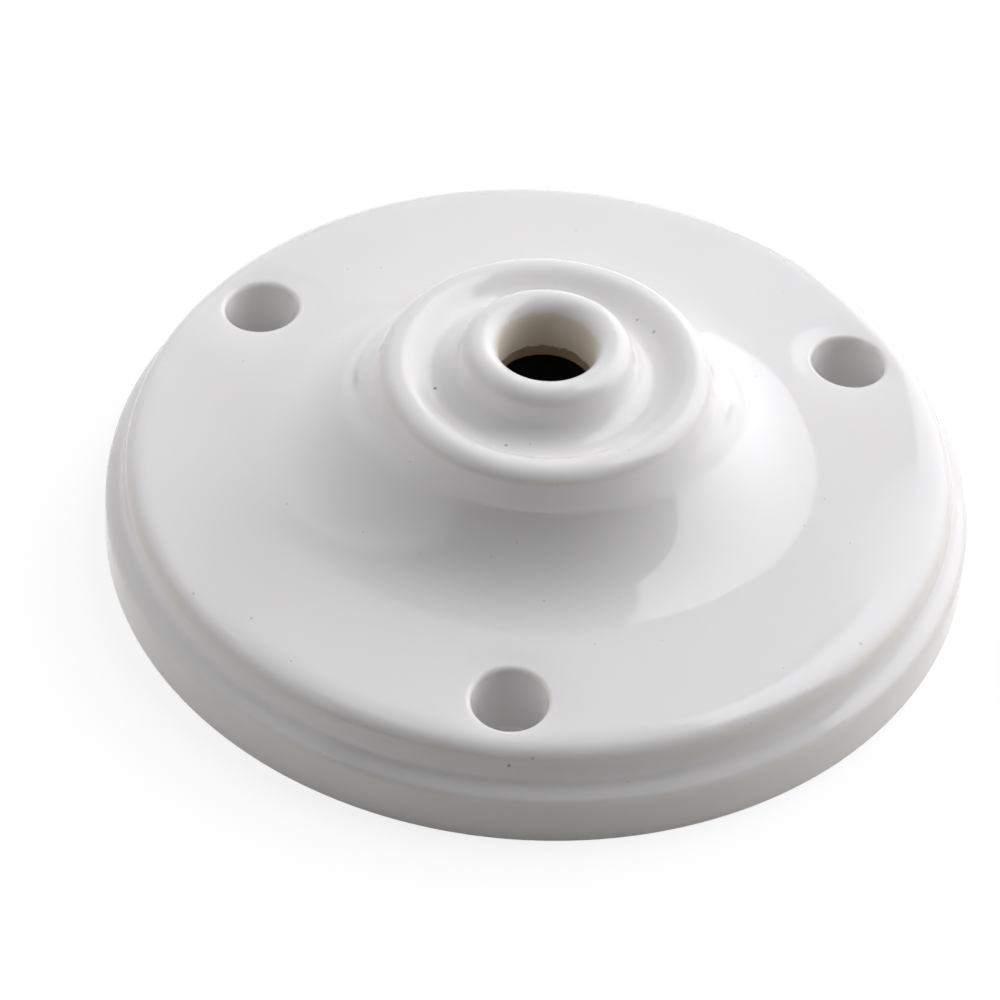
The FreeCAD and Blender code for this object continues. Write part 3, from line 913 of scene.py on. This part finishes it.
class ROSE_OT_stage(Operator):
    """Lay the white paper and set the lights and the camera"""

    bl_idname = "rose.stage"
    bl_label = "Stage"

    FLOOR_SIDE = 6.0
    SEAM = math.radians(0.8)
    # Each wall in degrees: the azimuths of its ends, the one it faces, and its top's height there.
    RIGHT_WALL = (13.6, 98.0, 62.0, 70.5)
    LEFT_WALL = (-134.0, -12.6, -68.0, 60.2)
    BACK_WALL = (-11.8, 12.8, 4.0, 62.0)
    ZENITH = 1e-6              # keeps the slope straight up finite
    WALL_EDGE = 0.15
    WALL_FOOT = 0.66           # a wall's brightness at the floor, as a share of that overhead
    WALL_FADE = 0.4            # how fast a wall's brightness falls away from where it faces
    ROOF_EDGE = math.radians(66.0)
    ROOF_BLEND = 0.8
    ROOF_REACH = 0.65          # how far the roof comes forward
    CONTACT = 0.4 * MM         # how far the white of the paper reaches under the foot
    CONTACT_BLEND = 0.1 * MM

    def floor(self, look, base):
        """White paper that takes the rose's shadow, with no glow of its own in the hollow."""
        material = bpy.data.materials.new("white_paper")
        nodes = Nodes(material)
        x, y, _ = nodes.split(nodes.node("ShaderNodeNewGeometry", {}, (), "Position"))
        reach = (x * x + y * y) ** 0.5
        glow = reach.above(base - self.CONTACT, self.CONTACT_BLEND) * look.paper_glow
        light = nodes.node("ShaderNodeEmission", {}, {"Color": opaque(WHITE), "Strength": glow})
        shade = nodes.node("ShaderNodeBsdfDiffuse", {}, {"Color": opaque(look.seen_paper)})
        shown = nodes.node("ShaderNodeAddShader", {}, [shade, light])
        paper = nodes.node("ShaderNodeBsdfDiffuse", {}, {"Color": opaque(look.paper)})
        seen = nodes.ray_is("Camera", "Glossy", "Transmission")
        surface = nodes.node("ShaderNodeMixShader", {}, [seen, paper, shown])
        nodes.node("ShaderNodeOutputMaterial", {}, {"Surface": surface})
        ends = (-self.FLOOR_SIDE / 2, self.FLOOR_SIDE / 2)
        quilt = Quilt()
        quilt.strip([[Vector((across, along, 0.0)) for across in ends] for along in ends], False)
        floor = new_object("floor", quilt.mesh("floor"))
        floor.data.materials.append(material)

    def tent(self, look):
        """A light tent: two lit side walls, a dimmer back wall between dark seams, and a dim roof."""
        world = bpy.data.worlds.new("light_tent")
        nodes = Nodes(world)
        x, y, z = nodes.split(nodes.node("ShaderNodeTexCoord", {}, (), "Generated"))
        steep = z / ((x * x + y * y) ** 0.5 + self.ZENITH)
        turn = x.math("ARCTAN2", x, y) + look.azimuth

        def wall(strength, span):
            """A wall between two azimuths from behind the rose; its top edge is level."""
            first, last, facing, top = (math.radians(value) for value in span)
            aside = (turn - facing) / (last - first)
            across = turn.above(first, self.SEAM) * (1.0 - turn.above(last, self.SEAM))
            edge = x.math("COSINE", turn - facing) * math.tan(top)
            below = 1.0 - steep.above(edge, self.WALL_EDGE)
            fade = 1.0 - aside * aside * self.WALL_FADE
            climb = self.WALL_FOOT + z * (1.0 - self.WALL_FOOT)
            return across * below * fade * climb * strength

        walls = wall(look.right_wall, self.RIGHT_WALL)
        walls = walls + wall(look.left_wall, self.LEFT_WALL)
        walls = walls + wall(look.back_wall, self.BACK_WALL)
        over = steep.above(math.tan(self.ROOF_EDGE), self.ROOF_BLEND) * (y + self.ROOF_REACH).clamp()
        shown = nodes.ray_is("Camera")
        strength = shown + (1.0 - shown) * (walls + over * look.roof)
        tint = nodes.mix(shown, look.light, WHITE)
        background = nodes.node("ShaderNodeBackground", {}, {"Color": tint, "Strength": strength})
        nodes.node("ShaderNodeOutputWorld", {}, {"Surface": background})
        bpy.context.scene.world = world

    def camera(self, look):
        """The camera, aimed and leaned as the photograph was taken."""
        turned = Matrix.Rotation(look.azimuth, 3, "Z")
        flat = look.distance * math.cos(look.elevation)
        place = turned @ Vector((0.0, -flat, look.distance * math.sin(look.elevation)))
        aim = turned @ Vector((-look.aim_left, 0.0, look.aim_height))
        ahead = (aim - place).normalized()
        level = ahead.cross(UP).normalized()
        upright = level.cross(ahead)
        right = level * math.cos(look.roll) + upright * math.sin(look.roll)
        up = upright * math.cos(look.roll) - level * math.sin(look.roll)
        camera = bpy.data.objects.new("camera", bpy.data.cameras.new("camera"))
        camera.data.lens = look.lens
        camera.data.sensor_width = SENSOR_WIDTH
        camera.data.clip_start = NEAR_CLIP
        rotation = Matrix((right, up, -ahead)).transposed().to_4x4()
        camera.matrix_world = Matrix.Translation(place) @ rotation
        bpy.context.scene.collection.objects.link(camera)
        bpy.context.scene.camera = camera

    def execute(self, context):
        look = context.scene.rose_studio
        self.floor(look, context.scene.rose_sizes.base_diameter / 2)
        self.tent(look)
        self.camera(look)
        context.scene.view_settings.view_transform = "Standard"
        return {"FINISHED"}


class ROSE_PT_sidebar(Panel):
    """The rose's operators and sizes in the sidebar"""

    bl_idname = "ROSE_PT_sidebar"
    bl_label = "Ceiling rose"
    bl_space_type = "VIEW_3D"
    bl_region_type = "UI"
    bl_category = "Rose"

    def draw(self, context):
        for operator in OPERATORS:
            self.layout.operator(operator.bl_idname)
        for group in GROUPS:
            column = self.layout.column()
            values = getattr(context.scene, group)
            for name in values.bl_rna.properties.keys():
                if name not in ("rna_type", "name"):
                    column.prop(values, name)


GROUPS = {"rose_sizes": RoseSizes, "rose_glaze": GlazeLook, "rose_studio": StudioLook}
OPERATORS = (ROSE_OT_body, ROSE_OT_stage)
CLASSES = (*GROUPS.values(), *OPERATORS, ROSE_PT_sidebar)


def register():
    for item in CLASSES:
        bpy.utils.register_class(item)
    for name, group in GROUPS.items():
        setattr(bpy.types.Scene, name, PointerProperty(type=group))


def unregister():
    for name in GROUPS:
        delattr(bpy.types.Scene, name)
    for item in reversed(CLASSES):
        bpy.utils.unregister_class(item)


def main():
    register()
    bpy.ops.rose.body()
    bpy.ops.rose.stage()


if __name__ == "__main__":
    main()
